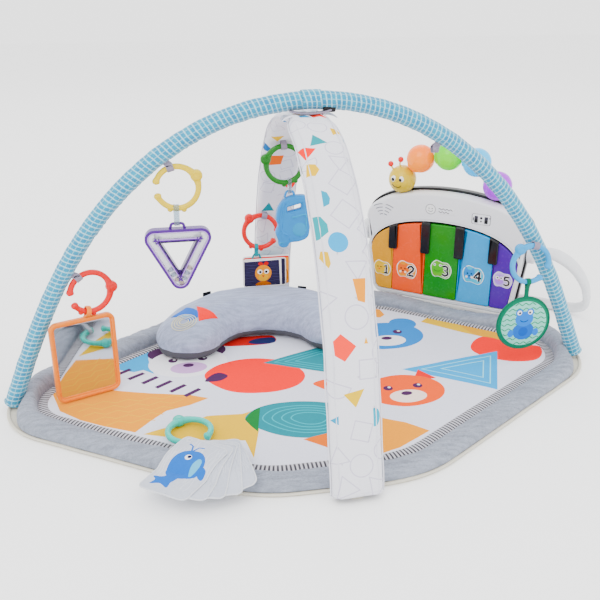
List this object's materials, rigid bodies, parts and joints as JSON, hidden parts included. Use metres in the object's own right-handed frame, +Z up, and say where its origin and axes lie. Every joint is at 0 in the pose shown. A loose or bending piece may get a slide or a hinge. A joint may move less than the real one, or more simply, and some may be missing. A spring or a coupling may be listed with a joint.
{
  "type": "activity play gym",
  "caption": "Padded play mat under two crossed flexible arches, with toys hanging on link rings, a crescent tummy pillow and an upright key piano with a folding stand.",
  "frame": {"origin": "on the floor, on the underside of the mat backing, below the point where the two arches cross", "axes": "+Z up; +X along the blue arch towards the piano side; +Y towards the back of the gym, away from the child's feet"},
  "size_m": [1.0152, 0.7802, 0.4534],
  "materials": {
    "backing_cloth": "matte woven backing",
    "panel_print": "brushed polyester with a bright print",
    "rim_knit": "heather grey knit",
    "blue_cloth": "gathered woven sleeve with white crosses",
    "white_cloth": "printed woven sleeve",
    "grey_webbing": "narrow woven webbing",
    "rod": "glass-fibre rod",
    "black_plastic": "satin moulded",
    "white_plastic": "satin moulded",
    "yellow_plastic": "glossy moulded",
    "red_plastic": "glossy moulded",
    "green_plastic": "glossy moulded",
    "cyan_plastic": "glossy moulded",
    "teal_plastic": "glossy moulded",
    "orange_plastic": "satin moulded",
    "purple_plastic": "glossy moulded",
    "clear_plastic": "clear moulded",
    "mirror_film": "shatterproof acrylic mirror",
    "card_cloth": "crinkle cloth",
    "book_front_cloth": "printed cloth",
    "book_back_cloth": "printed cloth",
    "round_card_cloth": "printed cloth card",
    "teal_webbing": "narrow woven webbing",
    "pillow_cloth": "soft minky with appliques",
    "circuit_green": "circuit board",
    "key_yellow": "translucent moulded",
    "key_orange": "translucent moulded",
    "key_green": "translucent moulded",
    "key_sky": "translucent moulded",
    "key_purple": "translucent moulded",
    "ball_orange": "translucent, lit from inside",
    "ball_green": "translucent, lit from inside",
    "ball_cyan": "translucent, lit from inside",
    "ball_purple": "translucent, lit from inside"
  },
  "bodies": {
    "gym": {"blue_pole_left": "rod", "blue_pole_right": "rod", "blue_sleeve": "blue_cloth", "socket_left": "black_plastic", "socket_right": "black_plastic", "white_pole_front": "rod", "white_pole_rear": "rod", "white_sleeve": "white_cloth", "socket_front": "black_plastic", "socket_rear": "black_plastic", "crossing_strap": "blue_cloth", "mat_backing": "backing_cloth", "mat_panel": "panel_print", "mat_rim": "rim_knit", "loop_mirror": "grey_webbing", "loop_triangle": "grey_webbing", "loop_spare": "grey_webbing", "loop_round_card": "grey_webbing", "loop_teether": "grey_webbing", "loop_book": "grey_webbing"},
    "mirror_link": {"mirror_ring": "red_plastic"},
    "mirror": {"mirror_frame": "orange_plastic", "mirror_plate": "mirror_film"},
    "triangle_link": {"triangle_ring": "yellow_plastic"},
    "triangle": {"triangle_strap": "clear_plastic", "triangle_outer_frame": "purple_plastic", "triangle_tube": "clear_plastic", "triangle_inner_frame": "purple_plastic"},
    "teether_link": {"teether_ring": "green_plastic"},
    "teether": {"teether_strap": "clear_plastic", "teether_body": "cyan_plastic"},
    "book_link": {"book_ring": "red_plastic"},
    "book": {"book_strap": "teal_webbing", "book_back": "book_back_cloth"},
    "book_cover": {"book_front": "book_front_cloth"},
    "round_card_link": {"round_card_ring": "cyan_plastic"},
    "round_card_toy": {"round_card": "round_card_cloth"},
    "card_set": {"cards_ring": "teal_plastic", "card_fan": "card_cloth"},
    "card_flap": {"card_top": "card_cloth"},
    "pillow_body": {"pillow": "pillow_cloth"},
    "piano": {"piano_front_shell": "white_plastic", "piano_back_shell": "black_plastic", "battery_door": "black_plastic", "sharps": "black_plastic", "circuit_board": "circuit_green", "speaker": "black_plastic", "bug_head": "yellow_plastic", "light_ball_1": "ball_orange", "light_ball_2": "ball_green", "light_ball_3": "ball_cyan", "light_ball_4": "ball_purple"},
    "key_body_1": {"key_1": "key_yellow"},
    "key_body_2": {"key_2": "key_orange"},
    "key_body_3": {"key_3": "key_green"},
    "key_body_4": {"key_4": "key_sky"},
    "key_body_5": {"key_5": "key_purple"},
    "volume_slider": {"switch_volume": "black_plastic"},
    "mode_slider": {"switch_mode": "black_plastic"},
    "stand_body": {"stand": "white_plastic"}
  },
  "joints": [
    {"name": "mirror_link_swing", "type": "hinge", "parent": "gym", "child": "mirror_link", "pos_m": [-0.335, 0, 0.2], "axis": [0.7876, 0.3146, 0.5299], "range_deg": [-5, 5]},
    {"name": "mirror_swing", "type": "hinge", "parent": "mirror_link", "child": "mirror", "pos_m": [-0.3271, 0.00315, 0.1464], "axis": [0.901, 0.3601, -0.2419], "range_deg": [-8, 8]},
    {"name": "triangle_link_swing", "type": "hinge", "parent": "gym", "child": "triangle_link", "pos_m": [-0.197, 0, 0.352], "axis": [0.9613, 0, 0.2756], "range_deg": [-20, 20]},
    {"name": "triangle_swing", "type": "hinge", "parent": "triangle_link", "child": "triangle", "pos_m": [-0.1919, 0, 0.2941], "axis": [1, 0, 0], "range_deg": [-25, 25]},
    {"name": "teether_link_swing", "type": "hinge", "parent": "gym", "child": "teether_link", "pos_m": [-0.015, 0.1468, 0.344], "axis": [0.9994, 0, 0.0349], "range_deg": [-15, 15]},
    {"name": "teether_swing", "type": "hinge", "parent": "teether_link", "child": "teether", "pos_m": [-0.00584, 0.1468, 0.28616], "axis": [1, 0, 0], "range_deg": [-25, 25]},
    {"name": "book_link_swing", "type": "hinge", "parent": "gym", "child": "book_link", "pos_m": [-0.033, 0.256, 0.198], "axis": [0.9703, 0, -0.2419], "range_deg": [0, 2]},
    {"name": "book_swing", "type": "hinge", "parent": "book_link", "child": "book", "pos_m": [-0.04827, 0.256, 0.14102], "axis": [1, 0, 0], "range_deg": [-2, 12]},
    {"name": "book_cover_open", "type": "hinge", "parent": "book", "child": "book_cover", "pos_m": [-0.07235, 0.25415, 0.0925], "axis": [0, 0, -1], "range_deg": [0, 6]},
    {"name": "round_card_link_swing", "type": "hinge", "parent": "gym", "child": "round_card_link", "pos_m": [0.346, -0.021, 0.212], "axis": [0.9848, 0, -0.1736], "range_deg": [-20, 0]},
    {"name": "round_card_swing", "type": "hinge", "parent": "round_card_link", "child": "round_card_toy", "pos_m": [0.33988, -0.021, 0.15345], "axis": [1, 0, 0], "range_deg": [-25, 12]},
    {"name": "card_set_lift", "type": "slide", "parent": "gym", "child": "card_set", "axis": [0, 0, 1], "range_m": [0, 0.06]},
    {"name": "card_flap_turn", "type": "hinge", "parent": "card_set", "child": "card_flap", "pos_m": [-0.19, -0.186, 0.037], "axis": [0, 0, -1], "range_deg": [0, 24]},
    {"name": "pillow_lift", "type": "slide", "parent": "gym", "child": "pillow_body", "axis": [0, -0.8, 0.6], "range_m": [0, 0.06]},
    {"name": "piano_lift", "type": "slide", "parent": "gym", "child": "piano", "axis": [0, 0, 1], "range_m": [0, 0.1]},
    {"name": "key_1_press", "type": "hinge", "parent": "piano", "child": "key_body_1", "pos_m": [0.19699, 0.30537, 0.144], "axis": [0.7882, -0.6155, 0], "range_deg": [0, 1.5], "stiffness_Nm_per_rad": 0.5},
    {"name": "key_2_press", "type": "hinge", "parent": "piano", "child": "key_body_2", "pos_m": [0.24349, 0.26905, 0.157], "axis": [0.7882, -0.6155, 0], "range_deg": [0, 1.5], "stiffness_Nm_per_rad": 0.5},
    {"name": "key_3_press", "type": "hinge", "parent": "piano", "child": "key_body_3", "pos_m": [0.29354, 0.22997, 0.162], "axis": [0.7882, -0.6155, 0], "range_deg": [0, 1.5], "stiffness_Nm_per_rad": 0.5},
    {"name": "key_4_press", "type": "hinge", "parent": "piano", "child": "key_body_4", "pos_m": [0.34359, 0.19089, 0.157], "axis": [0.7882, -0.6155, 0], "range_deg": [0, 1.5], "stiffness_Nm_per_rad": 0.5},
    {"name": "key_5_press", "type": "hinge", "parent": "piano", "child": "key_body_5", "pos_m": [0.39009, 0.15457, 0.144], "axis": [0.7882, -0.6155, 0], "range_deg": [0, 1.5], "stiffness_Nm_per_rad": 0.5},
    {"name": "volume_slide", "type": "slide", "parent": "piano", "child": "volume_slider", "axis": [0, 0, 1], "range_m": [0, 0.005]},
    {"name": "mode_slide", "type": "slide", "parent": "piano", "child": "mode_slider", "axis": [0, 0, 1], "range_m": [0, 0.005]},
    {"name": "stand_fold", "type": "hinge", "parent": "piano", "child": "stand_body", "pos_m": [0.30677, 0.24692, 0.135], "axis": [0.7882, -0.6155, 0], "range_deg": [0, 80]}
  ]
}
